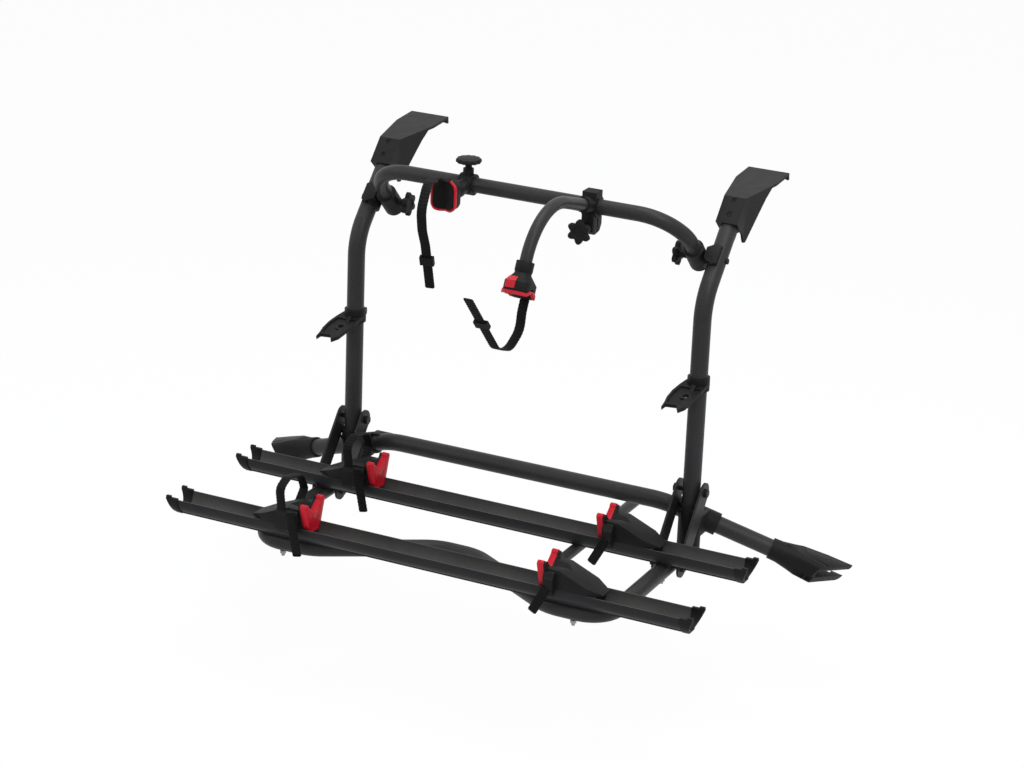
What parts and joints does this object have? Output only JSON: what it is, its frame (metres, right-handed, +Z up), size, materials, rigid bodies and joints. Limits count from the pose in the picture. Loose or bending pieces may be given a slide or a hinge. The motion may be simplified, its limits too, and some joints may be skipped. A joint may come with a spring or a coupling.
{
  "type": "rear door bike carrier",
  "caption": "Folding rear-door bicycle carrier with two wheel rails, a U-shaped crossbar, clamp arms with straps, top hooks and lower feet.",
  "frame": {"origin": "midway between the seats of the two top hooks on the door's top edge", "axes": "+X to the right along the rails seen from behind the vehicle, +Y towards the vehicle, +Z up"},
  "size_m": [1.5296, 0.9735, 0.9174],
  "materials": {
    "tube_black": "satin black powder coat on aluminium tube",
    "rail_grey": "satin anodised dark grey",
    "steel_dark": "black zinc",
    "plastic_black": "fine grain black",
    "plastic_red": "satin red",
    "rubber_black": "matt black",
    "bolt_steel": "zinc plated"
  },
  "bodies": {
    "frame": {"bar_clamps": "plastic_black", "clamp_bolts": "steel_dark", "hinge_bolts": "steel_dark", "hook_screws": "steel_dark", "left_foot": "plastic_black", "left_post": "tube_black", "left_top_hook": "plastic_black", "lower_tube": "tube_black", "post_end_plugs": "plastic_black", "right_foot": "plastic_black", "right_post": "tube_black", "right_top_hook": "plastic_black", "tee_joints": "plastic_black"},
    "left_latch": {"left_latch_hook": "plastic_black"},
    "right_latch": {"right_latch_hook": "plastic_black"},
    "platform": {"front_rail": "rail_grey", "hinge_plates": "steel_dark", "platform_bolts": "steel_dark", "platform_tube": "tube_black", "rail_bolts": "bolt_steel", "rail_end_caps": "plastic_black", "rear_rail": "rail_grey", "stay_bar": "tube_black", "stay_bar_pad": "rubber_black"},
    "crossbar": {"crossbar": "tube_black", "left_bar_socket": "plastic_black", "right_bar_socket": "plastic_black"},
    "left_clamp_knob": {"left_clamp_knob": "plastic_black"},
    "right_clamp_knob": {"right_clamp_knob": "plastic_black"},
    "short_arm": {"short_arm_clamp": "plastic_black"},
    "short_arm_knob": {"short_arm_knob": "plastic_black"},
    "short_arm_jaw": {"short_arm_jaw": "plastic_black", "short_arm_jaw_pad": "rubber_black", "short_arm_jaw_rim": "plastic_red", "short_arm_strap": "rubber_black", "short_arm_strap_keeper": "rubber_black"},
    "long_arm": {"long_arm_clamp": "plastic_black", "long_arm_tube": "tube_black"},
    "long_arm_knob": {"long_arm_knob": "plastic_black"},
    "long_arm_jaw": {"long_arm_jaw": "plastic_black", "long_arm_jaw_pad": "rubber_black", "long_arm_jaw_rim": "plastic_red", "long_arm_strap": "rubber_black", "long_arm_strap_keeper": "rubber_black"},
    "front_left_holder": {"front_left_strap_buckle": "plastic_black", "front_left_wheel_chock": "plastic_red", "front_left_wheel_holder": "plastic_black", "front_left_wheel_strap": "rubber_black"},
    "front_right_holder": {"front_right_strap_buckle": "plastic_black", "front_right_wheel_chock": "plastic_red", "front_right_wheel_holder": "plastic_black", "front_right_wheel_strap": "rubber_black"},
    "rear_left_holder": {"rear_left_strap_buckle": "plastic_black", "rear_left_wheel_chock": "plastic_red", "rear_left_wheel_holder": "plastic_black", "rear_left_wheel_strap": "rubber_black"},
    "rear_right_holder": {"rear_right_strap_buckle": "plastic_black", "rear_right_wheel_chock": "plastic_red", "rear_right_wheel_holder": "plastic_black", "rear_right_wheel_strap": "rubber_black"}
  },
  "joints": [
    {"name": "platform_fold", "type": "hinge", "parent": "frame", "child": "platform", "pos_m": [0, -0.2945, -0.64241], "axis": [-1, 0, 0], "range_deg": [0, 90]},
    {"name": "crossbar_tilt", "type": "hinge", "parent": "frame", "child": "crossbar", "pos_m": [0, -0.22533, -0.12458], "axis": [-1, 0, 0], "range_deg": [0, 15]},
    {"name": "left_latch_swivel", "type": "hinge", "parent": "frame", "child": "left_latch", "pos_m": [-0.43, -0.2945, -0.38841], "axis": [0, 0, 1], "range_deg": [-8, 12]},
    {"name": "right_latch_swivel", "type": "hinge", "parent": "frame", "child": "right_latch", "pos_m": [0.43, -0.2945, -0.38841], "axis": [0, 0, 1], "range_deg": [-8, 12]},
    {"name": "left_clamp_knob_turn", "type": "hinge", "parent": "frame", "child": "left_clamp_knob", "pos_m": [-0.3807, -0.22533, -0.12458], "axis": [1, 0, 0], "continuous": true},
    {"name": "right_clamp_knob_turn", "type": "hinge", "parent": "frame", "child": "right_clamp_knob", "pos_m": [0.3807, -0.22533, -0.12458], "axis": [1, 0, 0], "continuous": true},
    {"name": "short_arm_tilt", "type": "hinge", "parent": "crossbar", "child": "short_arm", "pos_m": [-0.131, -0.3325, -0.01741], "axis": [-1, 0, 0], "range_deg": [0, 40]},
    {"name": "short_arm_knob_turn", "type": "hinge", "parent": "short_arm", "child": "short_arm_knob", "pos_m": [-0.131, -0.3325, 0.02559], "axis": [0, 0, 1], "continuous": true},
    {"name": "short_arm_jaw_swivel", "type": "hinge", "parent": "short_arm", "child": "short_arm_jaw", "pos_m": [-0.131, -0.3945, -0.01741], "axis": [0, 1, 0], "range_deg": [-45, 45]},
    {"name": "long_arm_tilt", "type": "hinge", "parent": "crossbar", "child": "long_arm", "pos_m": [0.172, -0.3325, -0.01741], "axis": [-1, 0, 0], "range_deg": [-8, 30]},
    {"name": "long_arm_knob_turn", "type": "hinge", "parent": "long_arm", "child": "long_arm_knob", "pos_m": [0.172, -0.3545, -0.06141], "axis": [0, 1, 0], "continuous": true},
    {"name": "long_arm_jaw_swivel", "type": "hinge", "parent": "long_arm", "child": "long_arm_jaw", "pos_m": [0.172, -0.66536, -0.07641], "axis": [0, -0.4305, -0.9026], "range_deg": [-45, 45]},
    {"name": "front_left_holder_slide", "type": "slide", "parent": "platform", "child": "front_left_holder", "axis": [-1, 0, 0], "range_m": [-0.25, 0.15]},
    {"name": "front_right_holder_slide", "type": "slide", "parent": "platform", "child": "front_right_holder", "axis": [1, 0, 0], "range_m": [-0.25, 0.15]},
    {"name": "rear_left_holder_slide", "type": "slide", "parent": "platform", "child": "rear_left_holder", "axis": [-1, 0, 0], "range_m": [-0.25, 0.05]},
    {"name": "rear_right_holder_slide", "type": "slide", "parent": "platform", "child": "rear_right_holder", "axis": [1, 0, 0], "range_m": [-0.02, 0.08]}
  ]
}
